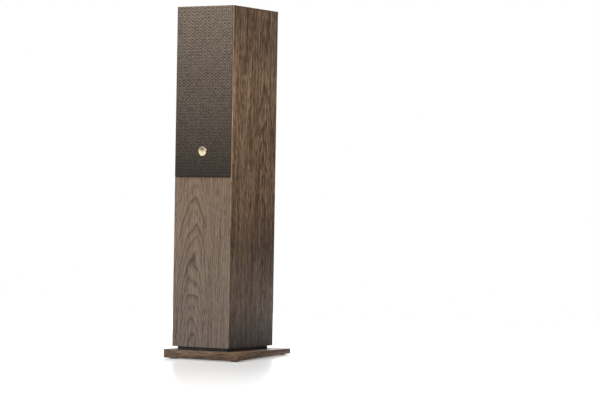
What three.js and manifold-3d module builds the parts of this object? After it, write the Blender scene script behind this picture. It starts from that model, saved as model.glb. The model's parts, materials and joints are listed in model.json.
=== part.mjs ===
// Floorstanding loudspeaker: a slim veneered cabinet that leans back a little on a wedge-shaped plinth,
// with a cloth grille over the upper half of its front, two woofers and a dome tweeter behind the grille,
// and a reflex port and a pair of binding posts at the back.
//
// Millimetres, +Z up, the front towards -Y. The origin is on the floor under the middle of the whole object.
// Everything above the plinth is drawn upright in the cabinet's own frame and then leans back as one group:
// there, y = 0 is the front face and grows towards the back, and z = 0 is the cabinet's underside.

import * as THREE from 'three';
import { mergeVertices } from 'three/addons/utils/BufferGeometryUtils.js';
import Module from 'manifold-3d';

const wasm = await Module();
wasm.setup();

// ---------------------------------------------------------------------------------------------------------
// Driving dimensions
// ---------------------------------------------------------------------------------------------------------

const clearance = 0.3; // left between pieces that touch on the real speaker

const cabinetWidth = 172;
const cabinetDepth = 220;
const cabinetHeight = 880;
const wallThickness = 15;
const baffleThickness = 18;
const rearThickness = 16;
const rearRecess = 3; // how far the rear panel sits inside the cabinet's back edges
const mitreRelief = 0.2; // taken off each board's edge, so two mitres stay clear of each other

const plinthWidth = 225;
const plinthDepth = 268;
const plinthFrontThickness = 22;
const plinthRearThickness = 13;
const spacerThickness = 9;
const spacerInset = 10.5;
const footThickness = 3;
const footRadius = 12;
const footInset = 20;

const grilleBottom = cabinetHeight / 2;
const grilleTop = cabinetHeight - 1;
const grilleWidth = 168;
const grilleFrameThickness = 2.7;
const grilleBorder = 11;
const grilleRib = 5;
const clothThickness = 0.6;
const badgeRadius = 12.4;
const badgeThickness = 1.7;
const badgeHeight = grilleBottom + 65;

const pocketWidth = 150; // the shallow pocket in the baffle that the drivers sit in
const pocketBottom = 454;
const pocketTop = 866;
const pocketDepth = 6;
const grilleMagnetRadius = 3;
const grilleMagnetThickness = 3;
const grilleMagnetX = 78.8;
const grilleMagnetHeights = { lower: 470, upper: 850 };

const lowerWooferHeight = 534;
const upperWooferHeight = 685;
const tweeterHeight = 811;
const wooferFlangeRadius = 71;
const wooferHoleRadius = 62;
const tweeterFlangeRadius = 47;
const tweeterHoleRadius = 31;
const driverFlangeThickness = 3.5;

const portHeight = 700;
const portBore = 25;
const portLength = 112;
const terminalHeight = 112;
const postSpacing = 28;
const postHeight = terminalHeight - 12; // below the cup's middle, which leaves finger room above
const braceHeight = 609.5;
const braceThickness = 15;
const braceWindow = { width: 50, depth: 72, corner: 8, offsetX: 33, offsetY: 44 };

const waddingSize = { width: 132, height: 380, thickness: 16, rounding: 4 }; // before rounding
const waddingHeight = 370; // of its middle

const crossoverBoard = { halfWidth: 50, front: 40, back: 160, thickness: 4 };
const inductor = { x: -20, y: 130, bore: 9, radius: 22, height: 20 };
const capacitor = { x: 22, front: 55, back: 95, radius: 9 };

const driverSides = 24; // sides of the round driver parts
const smallSides = 16; // sides of posts, bolts and other small round parts

// Worked out from the above
const lean = Math.atan((plinthFrontThickness - plinthRearThickness) / plinthDepth);
const halfWidth = cabinetWidth / 2;
const innerHalfWidth = halfWidth - wallThickness;
const rearOuterFace = cabinetDepth - rearRecess;
const rearInnerFace = rearOuterFace - rearThickness;
const grilleFront = -clearance - grilleFrameThickness;

// ---------------------------------------------------------------------------------------------------------
// Materials
// ---------------------------------------------------------------------------------------------------------

function finish(color, roughness, metalness) {
  return new THREE.MeshStandardMaterial({ color, roughness, metalness });
}

const finishes = {
  walnutFront: () => finish(0x7e6d5e, 0.5, 0),
  walnutSide: () => finish(0x644f40, 0.5, 0),
  walnutPlinth: () => finish(0x6a5040, 0.55, 0),
  board: () => finish(0x8a6f52, 0.85, 0),
  blackPaint: () => finish(0x151515, 0.6, 0),
  blackPlastic: () => finish(0x1b1b1c, 0.45, 0),
  rubber: () => finish(0x161616, 0.9, 0),
  cloth: () => finish(0x5c5249, 0.95, 0),
  brass: () => finish(0xc9a961, 0.25, 1),
  gold: () => finish(0xd0a94f, 0.25, 1),
  steel: () => finish(0x9a9ea2, 0.35, 1),
  darkSteel: () => finish(0x2c2d2f, 0.45, 0.8),
  ferrite: () => finish(0x2a2b2d, 0.7, 0.2),
  cone: () => finish(0x1d1d1f, 0.7, 0),
  silk: () => finish(0x202022, 0.6, 0),
  spider: () => finish(0x9b7a3c, 0.9, 0),
  copper: () => finish(0xb06a3c, 0.35, 1),
  wadding: () => finish(0xd9d7d0, 1, 0),
  redPlastic: () => finish(0x9e1f1c, 0.4, 0),
};

// ---------------------------------------------------------------------------------------------------------
// Geometry helpers
// ---------------------------------------------------------------------------------------------------------

// A closed geometry as a manifold solid, with its shared corners merged and its empty triangles dropped.
function toSolid(geometry) {
  const bare = geometry.clone();
  bare.deleteAttribute('normal');
  bare.deleteAttribute('uv');
  const merged = mergeVertices(bare, 1e-4);
  const corners = merged.index.array;
  const kept = [];
  for (let i = 0; i < corners.length; i += 3) {
    const [a, b, c] = corners.slice(i, i + 3);
    if (a !== b && b !== c && c !== a) kept.push(a, b, c);
  }
  return new wasm.Manifold(new wasm.Mesh({
    numProp: 3,
    vertProperties: new Float32Array(merged.attributes.position.array),
    triVerts: new Uint32Array(kept),
  }));
}

function toGeometry(solid) {
  const { vertProperties, triVerts } = solid.getMesh();
  const geometry = new THREE.BufferGeometry();
  geometry.setAttribute('position', new THREE.BufferAttribute(vertProperties, 3));
  geometry.setIndex(new THREE.BufferAttribute(triVerts, 1));
  geometry.computeVertexNormals();
  return geometry;
}

function join(...pieces) {
  return toGeometry(pieces.map(toSolid).reduce((whole, piece) => whole.add(piece)));
}

function cut(blank, ...tools) {
  return toGeometry(tools.map(toSolid).reduce((rest, tool) => rest.subtract(tool), toSolid(blank)));
}

function block([x0, x1], [y0, y1], [z0, z1]) {
  const box = new THREE.BoxGeometry(x1 - x0, y1 - y0, z1 - z0);
  return box.translate((x0 + x1) / 2, (y0 + y1) / 2, (z0 + z1) / 2);
}

// A solid of revolution about the y axis. The profile is a list of [radius, y] corners around one closed
// section, in either direction. A section that reaches the axis starts and ends on it.
function turned(profile, sides) {
  const closed = profile[0][0] === 0 ? profile : [...profile, profile[0]];
  const corners = closed.map(([radius, y]) => new THREE.Vector2(radius, y));
  const ordered = THREE.ShapeUtils.area(corners) > 0 ? corners : corners.reverse();
  return toGeometry(toSolid(new THREE.LatheGeometry(ordered, sides)));
}

function ring(innerRadius, outerRadius, y0, y1, sides) {
  return turned([[innerRadius, y0], [outerRadius, y0], [outerRadius, y1], [innerRadius, y1]], sides);
}

function disc(radius, y0, y1, sides) {
  return turned([[0, y0], [radius, y0], [radius, y1], [0, y1]], sides);
}

// The same shapes stood on end, so that their axis is z.
function upright(geometry) {
  return geometry.rotateX(Math.PI / 2);
}

function roundedRectangle(width, height, radius) {
  const x = width / 2 - radius;
  const y = height / 2 - radius;
  const outline = new THREE.Shape();
  outline.absarc(x, y, radius, 0, Math.PI / 2);
  outline.absarc(-x, y, radius, Math.PI / 2, Math.PI);
  outline.absarc(-x, -y, radius, Math.PI, 1.5 * Math.PI);
  outline.absarc(x, -y, radius, 1.5 * Math.PI, 2 * Math.PI);
  outline.closePath();
  return outline;
}

// An outline in x and z, made into a plate between two depths y0 and y1.
function plate(outline, y0, y1, curveSegments = 3) {
  const flat = new THREE.ExtrudeGeometry(outline, { depth: y1 - y0, bevelEnabled: false, curveSegments });
  return flat.rotateX(Math.PI / 2).translate(0, y1, 0);
}

function roundedPlate(width, height, radius, y0, y1) {
  return plate(roundedRectangle(width, height, radius), y0, y1);
}

// A board whose outer face is larger than its inner one, so that its edges are mitred. Each face gives its
// span along x, y and z, and along the board's thickness the span's two ends are equal.
function mitredBoard(outer, inner, thicknessAxis) {
  const board = new THREE.BoxGeometry(1, 1, 1);
  const corners = board.attributes.position;
  const outerIsHigh = outer[thicknessAxis][0] > inner[thicknessAxis][0];
  for (let i = 0; i < corners.count; i += 1) {
    const signs = [corners.getX(i), corners.getY(i), corners.getZ(i)];
    const face = (signs[thicknessAxis] > 0) === outerIsHigh ? outer : inner;
    const place = face.map(([low, high], axis) => (signs[axis] > 0 ? high : low));
    corners.setXYZ(i, ...place);
  }
  return board;
}

// ---------------------------------------------------------------------------------------------------------
// Assembly helpers
// ---------------------------------------------------------------------------------------------------------

const speaker = new THREE.Group();
const cabinet = new THREE.Group();
cabinet.rotation.x = -lean;
const cabinetFrontLift = footThickness + plinthFrontThickness + spacerThickness / Math.cos(lean);
cabinet.position.set(0, -plinthDepth / 2, cabinetFrontLift);
cabinet.updateMatrix();
speaker.add(cabinet);

function add(group, name, geometry, material, [x, y, z] = [0, 0, 0]) {
  const mesh = new THREE.Mesh(geometry, material);
  mesh.name = name;
  mesh.position.set(x, y, z);
  group.add(mesh);
}

// ---------------------------------------------------------------------------------------------------------
// Cabinet
// ---------------------------------------------------------------------------------------------------------

function frontBaffle() {
  const outer = [[-halfWidth + mitreRelief, halfWidth - mitreRelief], [0, 0],
    [mitreRelief, cabinetHeight - mitreRelief]];
  const inner = [[-innerHalfWidth + mitreRelief, innerHalfWidth - mitreRelief],
    [baffleThickness, baffleThickness],
    [wallThickness + mitreRelief, cabinetHeight - wallThickness - mitreRelief]];
  const pocketHeight = pocketTop - pocketBottom;
  const pocket = roundedPlate(pocketWidth, pocketHeight, 6, -1, pocketDepth)
    .translate(0, 0, (pocketTop + pocketBottom) / 2);
  const rebateFloor = pocketDepth + driverFlangeThickness + clearance;
  const driverCuts = [
    [lowerWooferHeight, wooferFlangeRadius, wooferHoleRadius],
    [upperWooferHeight, wooferFlangeRadius, wooferHoleRadius],
    [tweeterHeight, tweeterFlangeRadius, tweeterHoleRadius],
  ].map(([height, flangeRadius, holeRadius]) => {
    const rebate = disc(flangeRadius + 0.5, pocketDepth - 1, rebateFloor, driverSides);
    const hole = disc(holeRadius, pocketDepth - 1, baffleThickness + 1, driverSides);
    return join(rebate, hole).translate(0, 0, height);
  });
  const magnetCuts = magnetPlaces().map(([, x, z]) => {
    const depth = clearance + grilleMagnetThickness + clearance;
    return disc(grilleMagnetRadius + clearance, -1, depth, smallSides).translate(x, 0, z);
  });
  return cut(mitredBoard(outer, inner, 1), pocket, ...driverCuts, ...magnetCuts);
}

function magnetPlaces() {
  const sides = [['left', -grilleMagnetX], ['right', grilleMagnetX]];
  const levels = Object.entries(grilleMagnetHeights);
  return levels.flatMap(([level, z]) => sides.map(([side, x]) => [`grille_magnet_${level}_${side}`, x, z]));
}

function sidePanel(side) {
  const span = (low, high) => [low + mitreRelief, high - mitreRelief];
  const outer = [[side * halfWidth, side * halfWidth], [mitreRelief, cabinetDepth], span(0, cabinetHeight)];
  const inner = [[side * innerHalfWidth, side * innerHalfWidth],
    [baffleThickness + mitreRelief, cabinetDepth],
    span(wallThickness, cabinetHeight - wallThickness)];
  return mitredBoard(outer, inner, 0);
}

function endPanel(outerZ, innerZ) {
  const outer = [[-halfWidth + mitreRelief, halfWidth - mitreRelief], [mitreRelief, cabinetDepth],
    [outerZ, outerZ]];
  const inner = [[-innerHalfWidth + mitreRelief, innerHalfWidth - mitreRelief],
    [baffleThickness + mitreRelief, cabinetDepth], [innerZ, innerZ]];
  return mitredBoard(outer, inner, 2);
}

function rearPanel() {
  const halfInside = innerHalfWidth - clearance;
  const board = block([-halfInside, halfInside], [rearInnerFace, rearOuterFace],
    [wallThickness + clearance, cabinetHeight - wallThickness - clearance]);
  const portHole = disc(portBore + 3, rearInnerFace - 1, rearOuterFace + 1, driverSides)
    .translate(0, 0, portHeight);
  const cupHole = roundedPlate(cup.body + 2, cup.body + 2, 6, rearInnerFace - 1, rearOuterFace + 1)
    .translate(0, 0, terminalHeight);
  return cut(board, portHole, cupHole);
}

// A shelf across the middle of the cabinet that ties the walls together, with four windows for the air.
function windowBrace() {
  const halfInside = innerHalfWidth - clearance;
  const front = baffleThickness + clearance;
  const back = rearInnerFace - clearance;
  const half = braceThickness / 2;
  const shelf = block([-halfInside, halfInside], [front, back], [-half, half]);
  const middle = (front + back) / 2;
  const { width, depth, corner, offsetX, offsetY } = braceWindow;
  const windows = [-1, 1].flatMap((sideX) => [-1, 1].map((sideY) => {
    const opening = new THREE.ExtrudeGeometry(roundedRectangle(width, depth, corner),
      { depth: braceThickness + 2, bevelEnabled: false, curveSegments: 2 });
    return opening.translate(sideX * offsetX, middle + sideY * offsetY, -half - 1);
  }));
  return cut(shelf, ...windows);
}

function wadding() {
  const { width, height, thickness, rounding } = waddingSize;
  const pad = new THREE.ExtrudeGeometry(roundedRectangle(width, height, 3 * rounding), {
    depth: thickness,
    bevelEnabled: true,
    bevelThickness: rounding,
    bevelSize: rounding,
    bevelSegments: 2,
    curveSegments: 3,
  });
  return pad.rotateX(Math.PI / 2);
}

// ---------------------------------------------------------------------------------------------------------
// Plinth, spacer, bolts and feet
// ---------------------------------------------------------------------------------------------------------

const boltRadius = 3;
const boltLength = 32; // under the head
const boltHeadRadius = 6;
const boltHeadHeight = 4;
const boltHeadDepth = 1; // how far the head sits inside the plinth's underside
const boltPlaces = [['front_left', -55, 36], ['front_right', 55, 36], ['rear_left', -55, 184],
  ['rear_right', 55, 184]].map(([name, x, y]) => {
  const plinthBelow = plinthFrontThickness - y * Math.tan(lean);
  return { name: `plinth_bolt_${name}`, x, y, underHead: -spacerThickness - plinthBelow + boltHeadDepth
    + boltHeadHeight };
});

function bolt(grow) {
  const head = boltHeadRadius + grow;
  const shank = boltRadius + grow;
  const low = -boltHeadHeight - (grow > 0 ? boltHeadDepth + 4 : 0);
  const profile = [[0, low], [head, low], [head, grow], [shank, grow], [shank, boltLength + grow],
    [0, boltLength + grow]];
  return upright(turned(profile, smallSides));
}

function boltHoles() {
  return boltPlaces.map(({ x, y, underHead }) => bolt(clearance).translate(x, y, underHead));
}

function spacer() {
  const slab = block([-halfWidth + spacerInset, halfWidth - spacerInset],
    [spacerInset, cabinetDepth - spacerInset], [-spacerThickness + clearance, -clearance]);
  return cut(slab, ...boltHoles());
}

// The wedge that tips the cabinet back: level underneath, sloping down towards the back on top.
function plinth() {
  const half = plinthDepth / 2;
  const profile = new THREE.Shape([
    new THREE.Vector2(-half, footThickness),
    new THREE.Vector2(half, footThickness),
    new THREE.Vector2(half, footThickness + plinthRearThickness),
    new THREE.Vector2(-half, footThickness + plinthFrontThickness),
  ]);
  const wedge = new THREE.ExtrudeGeometry(profile, { depth: plinthWidth, bevelEnabled: false });
  // the profile's x and y become the plinth's y and z, and the extrusion runs along x
  wedge.applyMatrix4(new THREE.Matrix4().makeBasis(
    new THREE.Vector3(0, 1, 0), new THREE.Vector3(0, 0, 1), new THREE.Vector3(1, 0, 0)));
  wedge.translate(-plinthWidth / 2, 0, 0);
  return cut(wedge, ...boltHoles().map((hole) => hole.applyMatrix4(cabinet.matrix)));
}

// ---------------------------------------------------------------------------------------------------------
// Woofers. Their own y = 0 is the front of the flange, which is level with the pocket's floor.
// ---------------------------------------------------------------------------------------------------------

function wooferBasket() {
  const frame = turned([
    [60.5, 0], [wooferFlangeRadius, 0], [wooferFlangeRadius, driverFlangeThickness],
    [61, driverFlangeThickness], [59.5, 10], [46.5, 28.5], [41, 28.5], [41, 36.5], [20, 36.5], [20, 34.5],
    [38, 34.5], [38, 26], [45, 26], [57, 9], [56.5, 1.8], [60.5, 1.8],
  ], driverSides);
  const windows = [0, 1, 2].map((turn) => block([-80, 80], [12, 23.5], [-12, 12])
    .rotateY(turn * Math.PI / 3));
  return cut(frame, ...windows);
}

function wooferSurround() {
  const rollCentre = 50.8;
  const rollRadius = 6;
  const thickness = 0.7;
  const arc = (radius) => [0, 1, 2, 3, 4].map((step) => {
    const angle = Math.PI * step / 4;
    return [rollCentre + radius * Math.cos(angle), 1 - radius * Math.sin(angle)];
  });
  const front = arc(rollRadius);
  const back = arc(rollRadius - thickness).reverse();
  return turned([[60.1, 0.8], ...front, [42.8, 1], [42.8, 1.4], ...back, [60.1, 1.5]], driverSides);
}

function wooferCone() {
  return turned([[45.3, 1.9], [30, 9.6], [14.4, 19.4], [14.4, 22.6], [13.6, 22.6], [13.6, 20.4],
    [30, 10.8], [45.3, 3]], driverSides);
}

function wooferDustCap() {
  return turned([[0, 9.4], [8, 10.3], [14, 12.5], [19.4, 15.6], [19, 16.1], [13.6, 13.2], [7.8, 11.1],
    [0, 10.2]], driverSides);
}

function wooferYoke() {
  return turned([[5, 37.2], [12, 37.2], [12, 57.4], [40, 57.4], [40, 62.4], [5, 62.4]], driverSides);
}

function addWoofer(name, height) {
  const place = [0, pocketDepth, height];
  add(cabinet, `${name}_basket`, wooferBasket(), finishes.darkSteel(), place);
  add(cabinet, `${name}_surround`, wooferSurround(), finishes.rubber(), place);
  add(cabinet, `${name}_cone`, wooferCone(), finishes.cone(), place);
  add(cabinet, `${name}_dust_cap`, wooferDustCap(), finishes.cone(), place);
  add(cabinet, `${name}_spider`, ring(14.8, 42, 24.9, 25.7, driverSides), finishes.spider(), place);
  add(cabinet, `${name}_voice_coil`, ring(12.5, 13.2, 20, 44, driverSides), finishes.copper(), place);
  add(cabinet, `${name}_top_plate`, ring(14, 36, 36.8, 41.8, driverSides), finishes.steel(), place);
  add(cabinet, `${name}_magnet`, ring(24, 42, 42.1, 57.1, driverSides), finishes.ferrite(), place);
  add(cabinet, `${name}_yoke`, wooferYoke(), finishes.steel(), place);
}

// ---------------------------------------------------------------------------------------------------------
// Tweeter, with y = 0 at the front of its faceplate
// ---------------------------------------------------------------------------------------------------------

function tweeterFaceplate() {
  return turned([[tweeterFlangeRadius, 0], [tweeterFlangeRadius, driverFlangeThickness],
    [30, driverFlangeThickness], [30, 5.5], [17.5, 5.5], [17.5, 3.6], [30, 0]], driverSides);
}

function tweeterSurround() {
  return turned([[19.5, 5.8], [17, 5.8], [16.4, 4.6], [15.2, 4], [14, 4.6], [13.4, 5.8], [13.4, 6.2],
    [14.4, 5.2], [15.2, 4.6], [16, 5.2], [16.8, 6.2], [19.5, 6.2]], driverSides);
}

function tweeterDome() {
  return turned([[0, -0.8], [5, 0.2], [9, 2.1], [12.9, 5.6], [12.9, 6.1], [12.4, 6.1], [8.7, 2.9],
    [4.8, 1], [0, 0]], driverSides);
}

function tweeterYoke() {
  return turned([[0, 20], [20, 20], [20, 6.8], [13.7, 6.8], [13.7, 17], [0, 17]], driverSides);
}

function addTweeter() {
  const place = [0, pocketDepth, tweeterHeight];
  add(cabinet, 'tweeter_faceplate', tweeterFaceplate(), finishes.blackPlastic(), place);
  add(cabinet, 'tweeter_surround', tweeterSurround(), finishes.silk(), place);
  add(cabinet, 'tweeter_dome', tweeterDome(), finishes.silk(), place);
  add(cabinet, 'tweeter_voice_coil', ring(12.65, 13.1, 6.4, 11, driverSides), finishes.copper(), place);
  add(cabinet, 'tweeter_magnet', disc(12.2, 7, 16.7, driverSides), finishes.steel(), place);
  add(cabinet, 'tweeter_yoke', tweeterYoke(), finishes.darkSteel(), place);
}

// ---------------------------------------------------------------------------------------------------------
// Reflex port and terminals, at the back
// ---------------------------------------------------------------------------------------------------------

function portTube() {
  const mouth = rearOuterFace + clearance;
  const wall = 2;
  const flange = 2.5;
  return turned([
    [portBore, mouth - 12], [portBore + 2, mouth - 4], [portBore + 6, mouth + flange],
    [portBore + 13, mouth + flange], [portBore + 13, mouth], [portBore + wall + 0.6, mouth],
    [portBore + wall, mouth - 8], [portBore + wall, mouth - portLength], [portBore, mouth - portLength],
  ], driverSides);
}

// The square cup that sinks the posts into the rear panel
const cup = { flange: 84, body: 68, wall: 2, depth: 20, floor: 3, flangeThickness: 2.5 };
const cupMouth = rearOuterFace + clearance;
const cupFloorTop = cupMouth + cup.flangeThickness - cup.depth - cup.flangeThickness;

function terminalCup() {
  const flange = roundedPlate(cup.flange, cup.flange, 8, cupMouth, cupMouth + cup.flangeThickness);
  const body = roundedPlate(cup.body, cup.body, 6, cupFloorTop - cup.floor, cupMouth + 1);
  const inside = cup.body - 2 * cup.wall;
  const hollow = roundedPlate(inside, inside, 5, cupFloorTop, cupMouth + cup.flangeThickness + 1);
  const holes = [-1, 1].map((side) => disc(post.rod + clearance, cupFloorTop - cup.floor - 1,
    cupFloorTop + 1, smallSides).translate(side * postSpacing / 2, 0, postHeight - terminalHeight));
  return cut(join(flange, body), hollow, ...holes);
}

// Binding post: a threaded, hollow rod with a collar that rests on the cup's floor. y = 0 is that floor.
const post = { rod: 3, socket: 2.1, collar: 7, collarTop: 3, tip: 16.5, tail: -12 };
const washer = { inner: 3.5, outer: 7, low: post.collarTop + clearance, thickness: 1.4 };
const cap = { bore: 3.5, radius: 8, flutes: 12, flute: 1, low: washer.low + washer.thickness + clearance,
  high: 19 };

function bindingPost() {
  const collarLow = clearance;
  const socketFloor = 4;
  return turned([[0, post.tail], [post.rod, post.tail], [post.rod, collarLow], [post.collar, collarLow],
    [post.collar, post.collarTop], [post.rod, post.collarTop], [post.rod, post.tip],
    [post.socket, post.tip], [post.socket, socketFloor], [0, socketFloor]], smallSides);
}

function postCap() {
  const outline = new THREE.Shape();
  for (let i = 0; i < cap.flutes * 2; i += 1) {
    const angle = i * Math.PI / cap.flutes;
    const radius = cap.radius - (i % 2) * cap.flute;
    const move = i === 0 ? 'moveTo' : 'lineTo';
    outline[move](radius * Math.cos(angle), radius * Math.sin(angle));
  }
  outline.closePath();
  return cut(plate(outline, cap.low, cap.high), disc(cap.bore, cap.low - 1, cap.high + 1, smallSides));
}

function addTerminals() {
  add(cabinet, 'terminal_cup', terminalCup(), finishes.blackPlastic(), [0, 0, terminalHeight]);
  const polarities = [['red', 1, finishes.redPlastic], ['black', -1, finishes.blackPlastic]];
  for (const [colour, side, plastic] of polarities) {
    const place = [side * postSpacing / 2, cupFloorTop, postHeight];
    add(cabinet, `binding_post_${colour}`, bindingPost(), finishes.gold(), place);
    add(cabinet, `post_washer_${colour}`,
      ring(washer.inner, washer.outer, washer.low, washer.low + washer.thickness, smallSides),
      finishes.gold(), place);
    add(cabinet, `post_cap_${colour}`, postCap(), plastic(), place);
  }
}

// ---------------------------------------------------------------------------------------------------------
// Crossover, on the cabinet's floor
// ---------------------------------------------------------------------------------------------------------

function addCrossover() {
  const { halfWidth: boardHalfWidth, front, back, thickness } = crossoverBoard;
  const boardLow = wallThickness + clearance;
  const boardTop = boardLow + thickness;
  const coil = ring(inductor.bore, inductor.radius, 0, inductor.height, smallSides);
  const can = disc(capacitor.radius, capacitor.front, capacitor.back, smallSides);
  const board = block([-boardHalfWidth, boardHalfWidth], [front, back], [boardLow, boardTop]);
  add(cabinet, 'crossover_board', board, finishes.board());
  add(cabinet, 'crossover_inductor', upright(coil), finishes.copper(),
    [inductor.x, inductor.y, boardTop + clearance]);
  add(cabinet, 'crossover_capacitor', can, finishes.redPlastic(),
    [capacitor.x, 0, boardTop + clearance + capacitor.radius]);
}

// ---------------------------------------------------------------------------------------------------------
// Grille
// ---------------------------------------------------------------------------------------------------------

// A thin pressed frame whose cross ribs keep the cloth off the drivers, with a boss behind the badge.
function grilleFrame() {
  const width = grilleWidth;
  const height = grilleTop - grilleBottom;
  const middle = (grilleTop + grilleBottom) / 2;
  const depths = [grilleFront, -clearance];
  const blank = roundedPlate(width, height, 1.5, ...depths).translate(0, 0, middle);
  const insideX = width / 2 - grilleBorder;
  const insideBottom = grilleBottom + grilleBorder;
  const insideTop = grilleTop - grilleBorder;
  const betweenWoofers = (lowerWooferHeight + upperWooferHeight) / 2;
  const underTweeter = tweeterHeight - tweeterFlangeRadius - 4;
  const half = grilleRib / 2;
  const levels = [insideBottom - half, lowerWooferHeight, betweenWoofers, upperWooferHeight, underTweeter];
  const wooferWindows = levels.slice(1).flatMap((top, i) => [[-insideX, -half], [half, insideX]]
    .map((across) => block(across, [grilleFront - 1, 1], [levels[i] + half, top - half])));
  const tweeterRibX = 36;
  const tweeterWindows = [[-insideX, -tweeterRibX - half], [-tweeterRibX + half, tweeterRibX - half],
    [tweeterRibX + half, insideX]]
    .map((across) => block(across, [grilleFront - 1, 1], [underTweeter + half, insideTop]));
  const boss = disc(badgeRadius, ...depths, smallSides).translate(0, 0, badgeHeight);
  return join(cut(blank, ...wooferWindows, ...tweeterWindows), boss);
}

function addGrille() {
  const clothBack = grilleFront - 0.2;
  const clothFront = clothBack - clothThickness;
  const badgeBack = clothFront - clearance;
  add(cabinet, 'grille_frame', grilleFrame(), finishes.darkSteel());
  add(cabinet, 'grille_cloth',
    block([-grilleWidth / 2, grilleWidth / 2], [clothFront, clothBack], [grilleBottom, grilleTop]),
    finishes.cloth());
  add(cabinet, 'grille_badge', disc(badgeRadius, badgeBack - badgeThickness, badgeBack, 32),
    finishes.brass(), [0, 0, badgeHeight]);
  for (const [name, x, z] of magnetPlaces()) {
    add(cabinet, name, disc(grilleMagnetRadius, clearance, clearance + grilleMagnetThickness, smallSides),
      finishes.steel(), [x, 0, z]);
  }
}

// ---------------------------------------------------------------------------------------------------------
// The whole speaker
// ---------------------------------------------------------------------------------------------------------

add(cabinet, 'front_baffle', frontBaffle(), finishes.walnutFront());
add(cabinet, 'side_panel_left', sidePanel(-1), finishes.walnutSide());
add(cabinet, 'side_panel_right', sidePanel(1), finishes.walnutSide());
add(cabinet, 'top_panel', endPanel(cabinetHeight, cabinetHeight - wallThickness), finishes.walnutSide());
add(cabinet, 'bottom_panel', cut(endPanel(0, wallThickness), ...boltHoles()), finishes.walnutSide());
add(cabinet, 'rear_panel', rearPanel(), finishes.blackPaint());
add(cabinet, 'window_brace', windowBrace(), finishes.board(), [0, 0, braceHeight]);
add(cabinet, 'damping_wadding', wadding(), finishes.wadding(),
  [0, rearInnerFace - waddingSize.rounding - 1, waddingHeight]);
add(cabinet, 'port_tube', portTube(), finishes.blackPlastic(), [0, 0, portHeight]);
addTerminals();
addCrossover();
addWoofer('woofer_lower', lowerWooferHeight);
addWoofer('woofer_upper', upperWooferHeight);
addTweeter();
addGrille();

add(cabinet, 'plinth_spacer', spacer(), finishes.blackPaint());
for (const { name, x, y, underHead } of boltPlaces) {
  add(cabinet, name, bolt(0), finishes.darkSteel(), [x, y, underHead]);
}
add(speaker, 'plinth', plinth(), finishes.walnutPlinth());
for (const [end, y] of [['front', -plinthDepth / 2 + footInset], ['rear', plinthDepth / 2 - footInset]]) {
  for (const [side, x] of [['left', -plinthWidth / 2 + footInset], ['right', plinthWidth / 2 - footInset]]) {
    add(speaker, `foot_${end}_${side}`, upright(disc(footRadius, 0, footThickness - clearance, smallSides)),
      finishes.rubber(), [x, y, 0]);
  }
}

export default speaker;
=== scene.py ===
"""A slim floorstanding loudspeaker on a wedge plinth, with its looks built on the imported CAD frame.

Sizes are in millimetres and become metres as each mesh is made. Everything above the plinth is drawn in the
cabinet's own frame, in which x runs across, y = 0 is the front face and grows towards the back, and z = 0 is
the cabinet's underside. CABINET takes that frame, which leans back a little, to the world.
"""
import json
import math

import bmesh
import bpy
from mathutils import Matrix, Vector
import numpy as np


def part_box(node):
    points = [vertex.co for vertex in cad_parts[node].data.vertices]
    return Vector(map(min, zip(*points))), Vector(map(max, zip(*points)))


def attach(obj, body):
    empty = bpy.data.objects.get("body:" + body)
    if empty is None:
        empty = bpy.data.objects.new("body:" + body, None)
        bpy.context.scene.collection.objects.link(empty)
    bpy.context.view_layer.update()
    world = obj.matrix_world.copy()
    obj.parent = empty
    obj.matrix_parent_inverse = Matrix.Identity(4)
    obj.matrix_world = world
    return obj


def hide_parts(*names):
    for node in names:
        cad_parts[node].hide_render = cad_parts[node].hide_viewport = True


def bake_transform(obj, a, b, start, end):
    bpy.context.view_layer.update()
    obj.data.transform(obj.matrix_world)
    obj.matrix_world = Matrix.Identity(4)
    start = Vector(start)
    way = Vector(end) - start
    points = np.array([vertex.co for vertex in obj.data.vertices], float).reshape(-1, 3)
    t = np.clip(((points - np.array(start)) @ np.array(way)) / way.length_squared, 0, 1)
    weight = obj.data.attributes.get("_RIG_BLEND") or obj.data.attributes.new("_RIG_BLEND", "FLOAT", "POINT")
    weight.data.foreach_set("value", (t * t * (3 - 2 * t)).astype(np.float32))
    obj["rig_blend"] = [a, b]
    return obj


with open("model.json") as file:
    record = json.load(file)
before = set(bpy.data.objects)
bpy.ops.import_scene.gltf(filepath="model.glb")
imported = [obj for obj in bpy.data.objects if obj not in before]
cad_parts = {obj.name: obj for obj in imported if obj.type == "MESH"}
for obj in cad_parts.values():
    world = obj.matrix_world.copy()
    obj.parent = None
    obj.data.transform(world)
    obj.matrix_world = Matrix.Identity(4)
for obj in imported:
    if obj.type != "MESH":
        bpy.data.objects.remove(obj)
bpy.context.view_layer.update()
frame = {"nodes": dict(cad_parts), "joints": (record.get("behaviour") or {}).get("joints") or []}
scene = bpy.context.scene

MM = 0.001
CLEARANCE = 0.3  # between CAD pieces that touch on the real speaker
MITRE_RELIEF = 0.2  # between each CAD board's edge and the cabinet's true corner
CABINET_HEIGHT = 880.0
GRILLE_BOTTOM = CABINET_HEIGHT / 2
BAFFLE_THICKNESS = 18.0
WALL_THICKNESS = 15.0
X_AXIS, Y_AXIS, Z_AXIS = 0, 1, 2
FOUR_CORNERS = [f"{end}_{side}" for end in ("front", "rear") for side in ("left", "right")]
MAGNETS = [f"grille_magnet_{level}_{side}" for level in ("lower", "upper") for side in ("left", "right")]


# ---- The cabinet's own frame ----

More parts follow.
